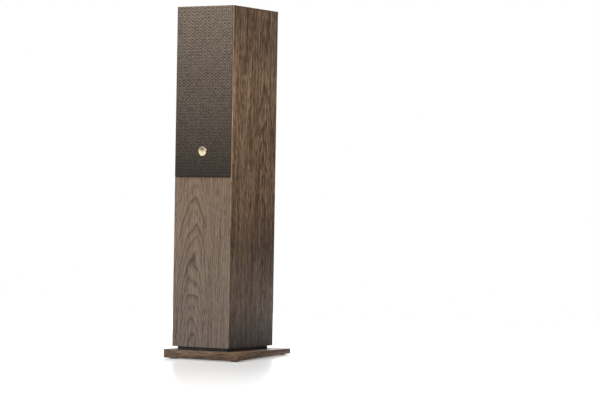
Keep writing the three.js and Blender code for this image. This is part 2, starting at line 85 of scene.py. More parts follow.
def cabinet_matrix():
    """The cabinet's frame in the world.

    Its lean is that of the grille's lift-off axis, and its place comes from the left side's corner.
    """
    lift = next(joint for joint in frame["joints"] if joint["name"] == "grille_lift_off")
    lean = math.atan2(lift["axis"][2], -lift["axis"][1])
    low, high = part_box("side_panel_left")
    sine = math.sin(lean)
    cosine = math.cos(lean)
    relief = MITRE_RELIEF * MM
    origin_y = low.y - relief * (cosine + sine)
    origin_z = high.z + relief * sine - (CABINET_HEIGHT * MM - relief) * cosine
    return Matrix.Translation((0, origin_y, origin_z)) @ Matrix.Rotation(-lean, 4, "X")


CABINET = cabinet_matrix()
WORLD = Matrix.Identity(4)


def local_box(node, matrix=CABINET):
    """The lowest and highest corner of a CAD node in the frame that matrix gives, in millimetres."""
    to_local = matrix.inverted()
    points = [(to_local @ vertex.co) / MM for vertex in frame["nodes"][node].data.vertices]
    low = Vector(min(point[axis] for point in points) for axis in range(3))
    high = Vector(max(point[axis] for point in points) for axis in range(3))
    return low, high


def middle(node, matrix=CABINET):
    low, high = local_box(node, matrix)
    return (low + high) / 2


def front_middle(node, y=None):
    """The point in the middle of a node's front, or at that y before or behind it, in the cabinet's frame."""
    centre = middle(node)
    return Vector((centre.x, local_box(node)[0].y if y is None else y, centre.z))


def upright(matrix, at):
    """A frame at a point of the given one, in millimetres, whose y axis points up."""
    return matrix @ Matrix.Translation(Vector(at) * MM) @ Matrix.Rotation(math.pi / 2, 4, "X")


def standing(node, matrix=CABINET):
    """A frame whose y axis points up from the middle of a node's underside."""
    centre = middle(node, matrix)
    return upright(matrix, (centre.x, centre.y, local_box(node, matrix)[0].z))


# ---- Shapes: each is a list of corners in millimetres and a list of faces ----

def softened(profile, radius, closed=False, segments=3):
    """The profile with each of its corners rounded. The two ends of an open profile stay as they are."""
    longest_share = 0.45  # of the sides that meet in a corner
    shortest = 0.01
    nearly_straight = math.radians(12)
    points = [Vector(point) for point in profile]
    count = len(points)
    rounded = []
    for i, corner in enumerate(points):
        if not closed and i in (0, count - 1):
            rounded.append(tuple(corner))
            continue
        before = points[i - 1] - corner
        after = points[(i + 1) % count] - corner
        reach = min(radius, longest_share * before.length, longest_share * after.length)
        if reach < shortest or before.angle(-after) < nearly_straight:
            rounded.append(tuple(corner))
            continue
        start = corner + before.normalized() * reach
        end = corner + after.normalized() * reach
        for step in range(segments + 1):
            t = step / segments
            blended = start * (1 - t) ** 2 + corner * (2 * t * (1 - t)) + end * t ** 2
            rounded.append(tuple(blended))
    return rounded


def bridge(rings, closed):
    """The faces between one ring of corners and the next. A ring of one corner is a point on the axis."""
    faces = []
    pairs = list(zip(rings, rings[1:]))
    if closed:
        pairs.append((rings[-1], rings[0]))
    for a, b in pairs:
        count = max(len(a), len(b))
        for i in range(count):
            j = (i + 1) % count
            if len(a) == 1 and len(b) > 1:
                faces.append((a[0], b[i], b[j]))
            elif len(b) == 1 and len(a) > 1:
                faces.append((a[i], b[0], a[j]))
            elif len(a) > 1:
                faces.append((a[i], b[i], b[j], a[j]))
    return faces


def turned(profile, closed=False, steps=96, reshape=None):
    """A profile of [radius, y] corners turned about the y axis. reshape(radius, angle) can vary a radius."""
    on_axis = 1e-6
    corners = []
    rings = []
    for radius, y in profile:
        count = 1 if radius < on_axis else steps
        rings.append(range(len(corners), len(corners) + count))
        for i in range(count):
            angle = 2 * math.pi * i / steps
            reach = reshape(radius, angle) if reshape else radius
            corners.append((reach * math.cos(angle), y, reach * math.sin(angle)))
    return corners, bridge(rings, closed)


def rounded_outline(width, height, radius, segments=8):
    """The x and z corners of a rounded rectangle round the origin."""
    outline = []
    for quarter, (side_x, side_z) in enumerate([(1, 1), (-1, 1), (-1, -1), (1, -1)]):
        for step in range(segments + 1):
            angle = math.pi / 2 * (quarter + step / segments)
            outline.append((side_x * (width / 2 - radius) + radius * math.cos(angle),
                            side_z * (height / 2 - radius) + radius * math.sin(angle)))
    return outline


def lofted(profile, width, height, radius, end_face=True):
    """A rounded rectangle that shrinks by each inset at each depth y of the profile's [inset, y] corners."""
    sharpest = 0.4
    corners = []
    rings = []
    for inset, y in profile:
        outline = rounded_outline(width - 2 * inset, height - 2 * inset, max(radius - inset, sharpest))
        rings.append(range(len(corners), len(corners) + len(outline)))
        corners.extend((x, y, z) for x, z in outline)
    faces = bridge(rings, False)
    faces.append(tuple(rings[0]))
    if end_face:
        faces.append(tuple(reversed(rings[-1])))
    return corners, faces


def hexagon(across):
    """A reshape for turned() that makes a socket's rings hexagonal, with that width across the flats."""
    beyond_corners = 1.2 * across / 2

    def reshape(radius, angle):
        if radius > beyond_corners:
            return radius
        sector = (angle + math.pi / 6) % (math.pi / 3) - math.pi / 6
        return radius / math.cos(sector)
    return reshape


# ---- Pieces: a shape becomes an object that rides on a CAD body ----

def build(name, shape, materials, matrix=CABINET, at=(0, 0, 0), smooth=35):
    """A new object for a shape. at is its origin in the frame that matrix gives, in millimetres."""
    corners, faces = shape
    mesh = bpy.data.meshes.new(name)
    mesh.from_pydata([Vector(corner) * MM for corner in corners], [], faces)
    work = bmesh.new()
    work.from_mesh(mesh)
    bmesh.ops.remove_doubles(work, verts=work.verts, dist=0.001 * MM)
    bmesh.ops.recalc_face_normals(work, faces=work.faces)
    work.to_mesh(mesh)
    work.free()
    piece = bpy.data.objects.new(name, mesh)
    scene.collection.objects.link(piece)
    for material in materials if isinstance(materials, (list, tuple)) else [materials]:
        mesh.materials.append(material)
    piece.matrix_world = matrix @ Matrix.Translation(Vector(at) * MM)
    smooth_over(piece, smooth)
    return piece


def smooth_over(piece, degrees):
    piece.data.shade_smooth()
    piece.data.set_sharp_from_angle(angle=math.radians(degrees))


def settle(piece, body, slot, *nodes):
    """The piece rides on the body and stands for the CAD nodes; slot is not used."""
    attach(piece, body)
    if nodes:
        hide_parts(*nodes)


def apply_modifiers(piece):
    depsgraph = bpy.context.evaluated_depsgraph_get()
    finished = bpy.data.meshes.new_from_object(piece.evaluated_get(depsgraph))
    piece.modifiers.clear()
    piece.data = finished


def carve(piece, *tools):
    """Cuts the tools out of the piece and removes them."""
    bpy.context.view_layer.update()
    for tool in tools:
        cutter = piece.modifiers.new("cut", "BOOLEAN")
        cutter.operation = "DIFFERENCE"
        cutter.solver = "EXACT"
        cutter.object = tool
    apply_modifiers(piece)
    for tool in tools:
        bpy.data.objects.remove(tool)


def bevel_edges(piece, width, segments, sharper_than):
    """A modifier that rounds the edges sharper than that many degrees."""
    bevel = piece.modifiers.new("edges", "BEVEL")
    bevel.width = width * MM
    bevel.segments = segments
    bevel.limit_method = "ANGLE"
    bevel.angle_limit = math.radians(sharper_than)
    bevel.harden_normals = True


def round_piece(name, profile, material, at, body, slot, node_name, soft, steps=96, reshape=None,
                matrix=CABINET):
    """A profile softened, turned about its own y axis and settled.

    One that starts on the axis ends on it too, and any other closes on itself.
    """
    closed = profile[0][0] > 0
    shape = turned(softened(profile, soft, closed), closed, steps, reshape)
    settle(build(name, shape, material, matrix, at), body, slot, node_name)


def blended_piece(name, profile, material, at, body, node_name, start_radius, end_radius):
    """A closed profile turned into a piece that stays with the root outside start_radius.

    It follows the body inside end_radius.
    """
    piece = build(name, turned(profile, closed=True), material, at=at, smooth=60)
    centre = CABINET @ (Vector(at) * MM)
    turn = CABINET.to_3x3()
    across = turn @ Vector((1, 0, 0)) * MM
    axis = turn @ Vector((0, 1, 0))
    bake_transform(piece, "root", body, start=centre + across * start_radius, end=centre + across * end_radius)
    weights = piece.data.attributes["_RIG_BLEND"].data
    for vertex in piece.data.vertices:
        offset = vertex.co - centre
        radius = (offset - axis * offset.dot(axis)).length / MM
        share = min(max((start_radius - radius) / (start_radius - end_radius), 0), 1)
        weights[vertex.index].value = share * share * (3 - 2 * share)
    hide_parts(node_name)


# ---- Materials ----

def shade(colour, factor):
    return tuple(channel * factor for channel in colour) + (1.0,)


class Nodes:
    """A node tree, with a short method for each thing that the finishes and the sky ask of it."""

    def __init__(self, tree):
        self.tree = tree

    def feed(self, target, key, value):
        """Gives a node's input a value, or another node's output to follow."""
        if isinstance(value, bpy.types.NodeSocket):
            self.tree.links.new(value, target.inputs[key])
        else:
            target.inputs[key].default_value = value

    def add(self, kind, inputs=None, **settings):
        new = self.tree.nodes.new("ShaderNode" + kind)
        for key, value in settings.items():
            setattr(new, key, value)
        for key, value in (inputs or {}).items():
            self.feed(new, key, value)
        return new

    def calc(self, operation, a, b=0.0, c=0.0):
        return self.add("Math", {0: a, 1: b, 2: c}, operation=operation).outputs[0]

    def weighted(self, *terms):
        """The sum of the terms, each of them a value and its weight."""
        total = 0.0
        for value, weight in terms:
            total = self.calc("MULTIPLY_ADD", value, weight, total)
        return total

    def length(self, a, b):
        """How far the point (a, b) is from (0, 0)."""
        return self.calc("SQRT", self.calc("MULTIPLY_ADD", a, a, self.calc("MULTIPLY", b, b)))

    def vector(self, operation, a, b=(0, 0, 0)):
        return self.add("VectorMath", {0: a, 1: b}, operation=operation).outputs[0]

    def brighter(self, colour, factor):
        return self.add("VectorMath", {0: colour, "Scale": factor}, operation="SCALE").outputs[0]

    def axes(self, vector):
        """The x, y and z of a vector."""
        return list(self.add("SeparateXYZ", {0: vector}).outputs)

    def spread(self, value, low, high, to_low=0.0, to_high=1.0):
        """value moved from the span low to high to the span to_low to to_high, and held inside it."""
        inputs = {"Value": value, "From Min": low, "From Max": high, "To Min": to_low, "To Max": to_high}
        return self.add("MapRange", inputs).outputs["Result"]

    def mix(self, factor, a, b):
        return self.add("Mix", {0: factor, 6: a, 7: b}, data_type="RGBA").outputs[2]

    def tones(self, factor, tone, start, end):
        """A colour from start times the tone, where factor is 0, to end times the tone, where it is 1."""
        return self.mix(factor, shade(tone, start), shade(tone, end))

    def ramp(self, factor, stops):
        """The colour at factor on a ramp of stops, which are pairs of a position and a colour."""
        new = self.add("ValToRGB", {"Fac": factor})
        elements = new.color_ramp.elements
        while len(elements) < len(stops):
            elements.new(0.5)
        for element, (position, rgb) in zip(elements, stops):
            element.position = position
            element.color = (*rgb, 1)
        return new.outputs["Color"]


class Finish(Nodes):
    """A material whose Principled shader starts with the given values.

    Its point is the object's own coordinates, in millimetres.
    """

    def __init__(self, name, **sockets):
        self.material = bpy.data.materials.new(name)
        self.material.use_nodes = True
        super().__init__(self.material.node_tree)
        self.shader = self.tree.nodes["Principled BSDF"]
        self.link(**sockets)
        self.point = self.vector("MULTIPLY", self.add("TexCoord").outputs["Object"], (1 / MM,) * 3)

    def link(self, **sockets):
        """Feeds the shader's sockets, whose names have a space where the keywords here have _."""
        for key, value in sockets.items():
            self.feed(self.shader, key.replace("_", " "), value)

    def noise(self, *periods, point=None, detail=3.0, roughness=0.55, distortion=0.0):
        """Noise from about 0.25 to 0.75, with features that many mm long along x, y and z, or one for all."""
        scale = [1 / period for period in periods] * (3 // len(periods))
        scaled = self.vector("MULTIPLY", self.point if point is None else point, scale)
        inputs = {"Vector": scaled, "Scale": 1.0, "Detail": detail, "Roughness": roughness,
                  "Distortion": distortion}
        return self.add("TexNoise", inputs).outputs["Fac"]

    def patches(self, *periods, low=0.35, high=0.65, **settings):
        """Noise with more contrast: 0 where it is below low, and 1 where it is above high."""
        return self.spread(self.noise(*periods, **settings), low, high)

    def done(self, height, depth, **sockets):
        """The finished material, with bumps: depth is how far the height's span from 0 to 1 rises, in mm."""
        bump = self.add("Bump", {"Height": height, "Distance": depth * MM, "Strength": 1.0})
        self.link(Normal=bump.outputs[0], **sockets)
        return self.material


def walnut(name, across, along, tone, heart, start, slope, shift=0.0, figure=1.0, streaks=1.0, fall_off=None,
           rim=None):
    """Satin walnut veneer with its grain along one axis, 0 to 2, and its figure spread along another.

    The veneer is cut flat from a log whose core lies start mm behind it where along is 0 and drops away by
    slope, so its rings make arches about the line where across is heart. A fall_off lists tints by height: it
    paints in how the picture's light fades down the cabinet, which the lamps here don't do by themselves, as
    painted light, painted shade and a painted reflection. A rim says where a painted highlight along the edge
    starts: the distance from the cabinet's middle, or from its front when negative.
    """
    look = Finish(name, Specular_IOR_Level=0.34)
    place = look.axes(look.point)
    moved = look.vector("ADD", look.point, (shift, shift, shift))
    ring_spacing = 4.3

    def stretched(width, length, **settings):
        """Noise drawn out along the grain."""
        periods = [width] * 3
        periods[along] = length
        return look.noise(*periods, point=moved, **settings)

    wander = look.calc("SUBTRACT", stretched(70, 190, detail=2.0), 0.5)
    ripple = look.calc("SUBTRACT", stretched(9, 60, detail=3.0), 0.5)
    # the depth is added in, so that the figure carries on over the board's edges
    depth = look.calc("ABSOLUTE", place[3 - across - along])
    from_heart = look.calc("SUBTRACT", look.calc("ADD", place[across], depth), heart)
    sideways = look.weighted((from_heart, 1.0), (wander, 26.0))
    behind = look.calc("ADD", look.weighted((place[along], slope), (wander, 18.0)), start)
    reach = look.weighted((look.length(behind, sideways), 1.0), (ripple, 1.8))
    ring_count = look.calc("DIVIDE", reach, ring_spacing)
    late_wood = ((0.0, 0.40), (0.10, 0.05), (0.50, 0.12), (0.78, 0.50), (0.9, 1.0), (1.0, 0.40))
    in_ring = look.ramp(look.calc("FRACT", ring_count),
                        [(position, [value] * 3) for position, value in late_wood])
    ring_number = look.calc("FLOOR", ring_count)
    ring_strength = look.add("TexWhiteNoise", {"W": ring_number}, noise_dimensions="1D").outputs["Value"]
    rings = look.calc("MULTIPLY", in_ring, look.spread(ring_strength, 0, 1, 0.35, 1.0))

    fibres = look.spread(stretched(2.7, 120, detail=2.5, roughness=0.6), 0.38, 0.62)
    dashes = look.spread(stretched(1.9, 17, detail=1.5), 0.42, 0.62)
    bands = look.spread(stretched(16, 420, detail=2.0), 0.35, 0.65)
    mottle = look.spread(stretched(14, 26, detail=2.0), 0.35, 0.65)
    pores = look.spread(stretched(0.42, 9.0, detail=1.0), 0.60, 0.68)

    dark = look.weighted((rings, 0.50 * figure), (fibres, 0.42 * streaks), (dashes, 0.36 * streaks),
                         (bands, 0.14), (mottle, 0.08))
    dark_wood = (tone[0] * 0.30, tone[1] * 0.26, tone[2] * 0.24, 1.0)
    colour = look.mix(dark, shade(tone, 2.25), dark_wood)
    colour = look.mix(look.calc("MULTIPLY", pores, 0.42), colour, shade(tone, 0.30))
    # painted light and shade by height: the fall_off tints lighten or darken the veneer
    if fall_off:
        strongest = 2.0
        stops = [(height / CABINET_HEIGHT, [part / strongest for part in rgb]) for height, rgb in fall_off]
        tint = look.ramp(look.calc("DIVIDE", place[Z_AXIS], CABINET_HEIGHT), stops)
        colour = look.brighter(look.vector("MULTIPLY", colour, tint), strongest)
    # painted highlight: the veneer is paler along the cabinet's front edge, most beside the grille
    if rim is not None:
        if rim > 0:
            painted_edge_highlight = look.spread(look.calc("ABSOLUTE", place[X_AXIS]), rim, rim + 0.5)
        else:
            painted_edge_highlight = look.spread(place[Y_AXIS], -rim, 0.0)
        beside_grille = look.spread(place[Z_AXIS], GRILLE_BOTTOM - 8, GRILLE_BOTTOM + 8, 0.25, 1.1)
        colour = look.brighter(colour, look.calc("MULTIPLY_ADD", painted_edge_highlight, beside_grille, 1.0))
    height = look.weighted((fibres, 0.35), (pores, -1.0))
    return look.done(height, 0.05, Base_Color=colour, Roughness=look.spread(fibres, 0, 1, 0.42, 0.55))


def fibreboard(name, tone=(0.30, 0.20, 0.115)):
    """The pressed wood fibre that shows where a board isn't veneered."""
    look = Finish(name, Roughness=0.85, Specular_IOR_Level=0.25)
    specks = look.patches(0.8)
    amount = look.weighted((specks, 0.5), (look.patches(30), 0.4))
    return look.done(specks, 0.08, Base_Color=look.tones(amount, tone, 1.2, 0.7))


def painted(name, tone, roughness=0.5, peel=0.06, grain=1.2, wear=0.25):
    """Sprayed paint or moulded plastic: a fine grained surface, a little uneven in gloss and tone."""
    look = Finish(name, Specular_IOR_Level=0.45)
    broad = look.patches(22)
    colour = look.tones(look.calc("MULTIPLY", broad, wear), tone, 1.0, 1.7)
    gloss = look.spread(broad, 0, 1, roughness - 0.05, roughness + 0.07)
    return look.done(look.noise(grain, detail=2.0), peel, Base_Color=colour, Roughness=gloss)


def metal(name, tone, roughness=0.3, scratch_periods=(0.3, 6.0, 0.3)):
    """Plated or machined metal with fine tool marks along the longest of the scratch periods."""
    look = Finish(name, Metallic=1.0)
    marks = look.noise(*scratch_periods)
    colour = look.tones(look.calc("MULTIPLY", look.patches(7), 0.5), tone, 1.0, 0.75)
    gloss = look.spread(marks, 0.3, 0.7, roughness - 0.07, roughness + 0.1)
    return look.done(marks, 0.02, Base_Color=colour, Roughness=gloss)


def ring_brushed(name, tone, roughness, pitch=0.16):
    """Metal faced on a lathe, with fine rings round the object's own y axis."""
    look = Finish(name, Metallic=1.0, Anisotropic=0.75)
    x, _, z = look.axes(look.point)
    ring_number = look.calc("DIVIDE", look.length(x, z), pitch)
    inputs = {"W": ring_number, "Scale": 1.0, "Detail": 3.0}
    rings = look.add("TexNoise", inputs, noise_dimensions="1D").outputs["Fac"]
    colour = look.tones(look.spread(rings, 0.3, 0.7), tone, 1.1, 0.72)
    gloss = look.spread(rings, 0.3, 0.7, roughness - 0.06, roughness + 0.08)
    tangent = look.add("Tangent", direction_type="RADIAL", axis="Y").outputs[0]
    return look.done(rings, 0.012, Base_Color=colour, Roughness=gloss, Tangent=tangent)


def grille_fabric(name, tone, top, bottom):
    """Taupe speaker cloth: a plain weave of glossy yarns, with thicker and thinner places in the yarn.

    Its tone falls from the top edge to the bottom edge. That is how the picture's light lies on the cloth,
    painted in, and not a property of the yarn.
    """
    look = Finish(name, Specular_IOR_Level=0.16, Sheen_Weight=0.04, Sheen_Roughness=0.4,
                  Sheen_Tint=(0.9, 0.75, 0.6, 1))
    x, y, z = look.axes(look.point)
    cell_width = 6.1
    cell_height = 4.0
    weft_yarns = 3
    warp_yarns = 5
    # the depth is added in, so that the weave carries on round the frame's edges
    u = look.calc("DIVIDE", look.calc("ADD", x, y), cell_width)
    v = look.calc("DIVIDE", look.calc("ADD", z, y), cell_height)
    column = look.calc("FLOOR", u)
    row = look.calc("FLOOR", v)
    lengthwise = look.calc("PINGPONG", look.calc("ADD", column, row), 1.0)
    crosswise = look.calc("SUBTRACT", 1.0, lengthwise)
    in_u = look.calc("SUBTRACT", look.calc("FRACT", u), 0.5)
    in_v = look.calc("SUBTRACT", look.calc("FRACT", v), 0.5)

    def yarn_bundle(across, along, yarns):
        """A few yarns side by side that arch over one cell of the basket weave."""
        ribs = look.calc("ABSOLUTE", look.calc("COSINE", look.calc("MULTIPLY", across, math.pi * yarns)))
        rise = look.calc("COSINE", look.calc("MULTIPLY", along, math.pi * 0.9))
        return look.calc("MULTIPLY", look.calc("MULTIPLY_ADD", ribs, 0.45, 0.55), rise)

    warp = look.calc("MULTIPLY", yarn_bundle(in_u, in_v, warp_yarns), lengthwise)
    weft = look.calc("MULTIPLY", yarn_bundle(in_v, in_u, weft_yarns), crosswise)
    thick_row = look.calc("PINGPONG", row, 1.0)
    slubs = look.patches(9.0, 3.0, 2.6, low=0.38, high=0.62, detail=2.0)
    dots = look.patches(2.8, 3.0, 2.8, low=0.36, high=0.64, detail=1.0)
    cloud = look.patches(60, 60, 90, detail=2.0)
    amount = look.weighted((thick_row, 0.14), (warp, 0.08), (weft, 0.46), (slubs, 0.10), (dots, 0.46),
                           (cloud, 0.06))
    fall = look.calc("POWER", look.spread(z, bottom, top), 0.9)
    colour = look.mix(fall, look.tones(amount, tone, 0.02, 0.36), look.tones(amount, tone, 0.06, 1.76))
    gloss = look.spread(slubs, 0, 1, 0.55, 0.7)
    return look.done(look.calc("ADD", warp, weft), 0.45, Base_Color=colour, Roughness=gloss)


def pulp(name, tone):
    """Pressed paper pulp of a cone: matt, with short fibres."""
    look = Finish(name, Specular_IOR_Level=0.3)
    fibres = look.noise(0.9, detail=4.0, distortion=1.2)
    amount = look.weighted((look.spread(fibres, 0.35, 0.65), 0.6), (look.patches(9), 0.3))
    gloss = look.spread(fibres, 0.3, 0.7, 0.62, 0.8)
    return look.done(fibres, 0.12, Base_Color=look.tones(amount, tone, 0.7, 1.5), Roughness=gloss)


def woven(name, tone, pitch=0.8, roughness=0.7, depth=0.08):
    """Impregnated fine cloth: the tweeter's silk and the woofers' spiders."""
    look = Finish(name, Specular_IOR_Level=0.4)
    waves = look.vector("MULTIPLY", look.point, (math.pi / pitch,) * 3)
    x, _, z = look.axes(look.vector("SINE", waves))
    height = look.calc("MULTIPLY", x, z)
    cloud = look.patches(6)
    amount = look.weighted((look.spread(height, -1, 1), 0.5), (cloud, 0.4))
    gloss = look.spread(cloud, 0, 1, roughness - 0.08, roughness + 0.08)
    return look.done(height, depth, Base_Color=look.tones(amount, tone, 0.65, 1.35), Roughness=gloss)


def winding(name, tone, pitch=0.9):
    """Lacquered copper wire, wound round the object's y axis."""
    look = Finish(name, Metallic=1.0)
    _, y, _ = look.axes(look.point)
    turns = look.calc("SINE", look.calc("MULTIPLY", y, 2 * math.pi / pitch))
    cloud = look.patches(5)
    amount = look.calc("ADD", look.weighted((cloud, 0.5), (look.spread(turns, -1, 1), -0.5)), 0.5)
    gloss = look.spread(cloud, 0, 1, 0.28, 0.42)
    return look.done(turns, 0.12, Base_Color=look.tones(amount, tone, 1.1, 0.45), Roughness=gloss)


def fleece(name, tone):
    """Loose polyester wadding."""
    look = Finish(name, Roughness=0.95, Specular_IOR_Level=0.15, Sheen_Weight=0.6)
    tufts = look.noise(5, detail=5.0, distortion=1.6)
    return look.done(tufts, 1.2, Base_Color=look.tones(look.spread(tufts, 0.3, 0.7), tone, 0.7, 1.08))


def studio_floor():
    """A pale floor that glows, a little more brightly away from the speaker that stands on it: the dimmer glow
    round the speaker is a painted shadow.
    """
    look = Finish("studio_floor", Specular_IOR_Level=0.4, Base_Color=(0.55, 0.55, 0.55, 1), Roughness=0.32,
                  Emission_Color=(1, 1, 1, 1))
    # painted shadow: the glow is dimmest near this point, a little ahead of and beside the speaker, and rises
    # with distance from it
    ahead = look.vector("SUBTRACT", look.point, (250, -150, 0))
    distance = look.add("VectorMath", {0: ahead}, operation="LENGTH").outputs["Value"]
    look.link(Emission_Strength=look.spread(distance, 0, 1600, 0.19, 0.90))
    return look.material


WALNUT = (0.150, 0.096, 0.060)
PLINTH_WALNUT = (0.130, 0.080, 0.048)
BRASS = (0.36, 0.30, 0.205)
COPPER = (0.60, 0.26, 0.13)

# the height in the cabinet, and how strongly red, green and blue show there: painted light, shade and
# reflection by height
# painted reflection of the pale floor: the front's veneer turns greyer and bluer towards its bottom
FRONT_PAINTED_REFLECTION = (
    (0, (0.98, 1.15, 1.45)),
    (120, (1.04, 1.22, 1.48)),
    (260, (1.03, 1.16, 1.28)),
    (430, (0.96, 0.98, 1.0)),
)
# painted shade on the sides near the floor, and painted light higher up
SIDE_PAINTED_LIGHT_AND_SHADE = (
    (0, (0.24, 0.23, 0.23)),
    (34, (0.30, 0.29, 0.28)),
    (75, (0.68, 0.67, 0.68)),
    (120, (0.92, 0.93, 0.98)),
    (260, (0.86, 0.83, 0.78)),
    (360, (1.50, 1.48, 1.42)),
    (660, (1.66, 1.66, 1.60)),
    (850, (1.02, 1.02, 1.02)),
)
mat_front = walnut("walnut_front", X_AXIS, Z_AXIS, WALNUT, heart=-28, start=45, slope=0.105, figure=1.2,
                   streaks=0.78, fall_off=FRONT_PAINTED_REFLECTION, rim=83.8)
mat_side = walnut("walnut_side", Y_AXIS, Z_AXIS, WALNUT, heart=244, start=28, slope=0.085, figure=1.5,
                  streaks=1.45, shift=310, fall_off=SIDE_PAINTED_LIGHT_AND_SHADE, rim=-1.6)
mat_top = walnut("walnut_top", Y_AXIS, X_AXIS, WALNUT, heart=975, start=70, slope=0.16, shift=710)
mat_plinth_front = walnut("walnut_plinth_front", Z_AXIS, X_AXIS, PLINTH_WALNUT, heart=-30, start=60,
                          slope=0.05, streaks=1.2, shift=150)
mat_plinth_side = walnut("walnut_plinth_side", Z_AXIS, Y_AXIS, PLINTH_WALNUT, heart=-25, start=55,
                         slope=0.06, streaks=1.2, shift=480)
mat_plinth_top = walnut("walnut_plinth_top", Y_AXIS, X_AXIS, PLINTH_WALNUT, heart=-20, start=60,
                        slope=0.12, shift=860)
mat_board = fibreboard("fibreboard")
mat_black_paint = painted("black_paint", (0.016, 0.016, 0.017), roughness=0.55, peel=0.05, grain=1.4)
mat_black_plastic = painted("black_plastic", (0.018, 0.018, 0.020), roughness=0.42, peel=0.035, grain=0.7)
mat_red_plastic = painted("red_plastic", (0.36, 0.016, 0.014), roughness=0.35, peel=0.02, grain=0.8)
mat_rubber = painted("rubber", (0.014, 0.014, 0.014), roughness=0.62, peel=0.03, grain=0.5, wear=0.5)
mat_foot_rubber = painted("foot_rubber", (0.50, 0.50, 0.48), roughness=0.82, peel=0.12, grain=0.6, wear=0.6)
grille_low, grille_high = local_box("grille_cloth")
half_grille = (grille_high.z - grille_low.z) / 2
mat_fabric = grille_fabric("grille_cloth_weave", (0.165, 0.128, 0.098), half_grille, -half_grille)
mat_badge = ring_brushed("brass_badge", BRASS, roughness=0.26)
mat_gold = metal("gold_plate", (0.80, 0.58, 0.25), roughness=0.24, scratch_periods=(0.5, 0.2, 0.5))
mat_steel = metal("bright_steel", (0.55, 0.55, 0.56), roughness=0.34)
mat_dark_steel = metal("dark_steel", (0.09, 0.09, 0.095), roughness=0.42)
mat_basket = painted("basket_lacquer", (0.020, 0.020, 0.022), roughness=0.38, peel=0.04, grain=0.9)
mat_ferrite = painted("ferrite", (0.035, 0.035, 0.038), roughness=0.7, peel=0.12, grain=1.0)
mat_cone = pulp("cone_paper", (0.020, 0.020, 0.022))
mat_silk = woven("silk_dome", (0.022, 0.022, 0.024), pitch=0.5, roughness=0.5, depth=0.03)
mat_spider = woven("spider_cloth", (0.33, 0.22, 0.07), pitch=0.9)
mat_copper = winding("copper_wire", COPPER)
mat_copper_coil = winding("copper_coil", COPPER, pitch=1.2)
mat_wadding = fleece("polyester_wadding", (0.72, 0.71, 0.67))


# ---- Camera, lights and floor ----

def add_camera():
    """A long lens on the speaker's right, as fitted to the corners of the cabinet, grille and plinth."""
    camera = bpy.data.cameras.new("camera")
    camera.sensor_width = 36
    camera.lens = 143.75
    camera.clip_end = 100
    viewer = bpy.data.objects.new("camera", camera)
    viewer.location = (3.31544, -5.33092, 0.56986)
    viewer.rotation_euler = (math.radians(88.548), 0, math.radians(30.145))
    scene.collection.objects.link(viewer)
    scene.camera = viewer


def softbox(name, at, aim, width, height, power):
    lamp = bpy.data.lights.new(name, "AREA")
    lamp.shape = "RECTANGLE"
    lamp.size = width
    lamp.size_y = height
    lamp.energy = power
    box = bpy.data.objects.new(name, lamp)
    box.location = at
    box.rotation_euler = (Vector(aim) - Vector(at)).to_track_quat("-Z", "Y").to_euler()
    scene.collection.objects.link(box)


def add_studio():
    """A pale floor under a soft dome, with a near softbox high at the front and large ones round it."""
    low, right, far = -8000, 1500, 1400
    corners = [(low, low, 0), (right, low, 0), (right, far, 0), (low, far, 0)]
    floor = build("studio_floor", (corners, [(0, 1, 2, 3)]), studio_floor(), matrix=WORLD)
    floor.visible_diffuse = False
    softbox("front_high", (-0.75, -1.55, 1.85), (0, -0.1, 0.8), 0.9, 0.7, 14)
    softbox("front_left", (-2.6, -3.6, 1.6), (0, 0, 0.6), 2.2, 1.6, 50)
    softbox("right", (2.5, -1.7, 2.2), (0, 0, 0.85), 1.2, 1.0, 76)
    softbox("behind", (-1.2, 3.6, 1.9), (0, 0, 0.5), 2.6, 2.0, 90)
    softbox("overhead", (0, 0, 3.2), (0, 0, 0), 3.2, 3.2, 40)

    world = bpy.data.worlds.new("studio")
    world.use_nodes = True
    sky = Nodes(world.node_tree)
    dome = sky.tree.nodes["Background"]
    _, y, z = sky.axes(sky.add("TexCoord").outputs["Generated"])
    overhead = sky.spread(z, -0.05, 0.3, 0.1, 1.0)
    ahead = sky.spread(y, 0.5, -0.3, 0.14, 0.45)
    sky.feed(dome, "Color", (1.0, 0.99, 0.98, 1))
    sky.feed(dome, "Strength", sky.calc("MULTIPLY", overhead, ahead))
    backdrop = sky.add("Background", {"Color": (1, 1, 1, 1), "Strength": 1.0})
    seen = sky.add("LightPath").outputs["Is Camera Ray"]
    both = sky.add("MixShader", {0: seen, 1: dome.outputs[0], 2: backdrop.outputs[0]})
    sky.feed(sky.tree.nodes["World Output"], "Surface", both.outputs[0])
    scene.world = world
    scene.view_settings.view_transform = "Standard"
    scene.view_settings.look = "None"


add_camera()
add_studio()


# ---- Cabinet: five boards cut from one finely rounded box along their mitres ----

side_low, side_high = local_box("side_panel_left")
HALF_WIDTH = -side_low.x
CABINET_DEPTH = side_high.y
EDGE_ROUNDING = 0.7
POCKET_SIZE = (150, 412)
POCKET_MIDDLE = 660
FLANGE_THICKNESS = 3.5


def cabinet_shell():
    """The cabinet's whole outer form, as a bmesh in millimetres."""
    shell = bmesh.new()
    bmesh.ops.create_cube(shell, size=1)
    size = (2 * HALF_WIDTH, CABINET_DEPTH, CABINET_HEIGHT)
    bmesh.ops.scale(shell, vec=size, verts=shell.verts)
    bmesh.ops.translate(shell, vec=(0, CABINET_DEPTH / 2, CABINET_HEIGHT / 2), verts=shell.verts)
    bmesh.ops.bevel(shell, geom=list(shell.edges), offset=EDGE_ROUNDING, segments=3, profile=0.5,
                    affect="EDGES", clamp_overlap=True)
    return shell


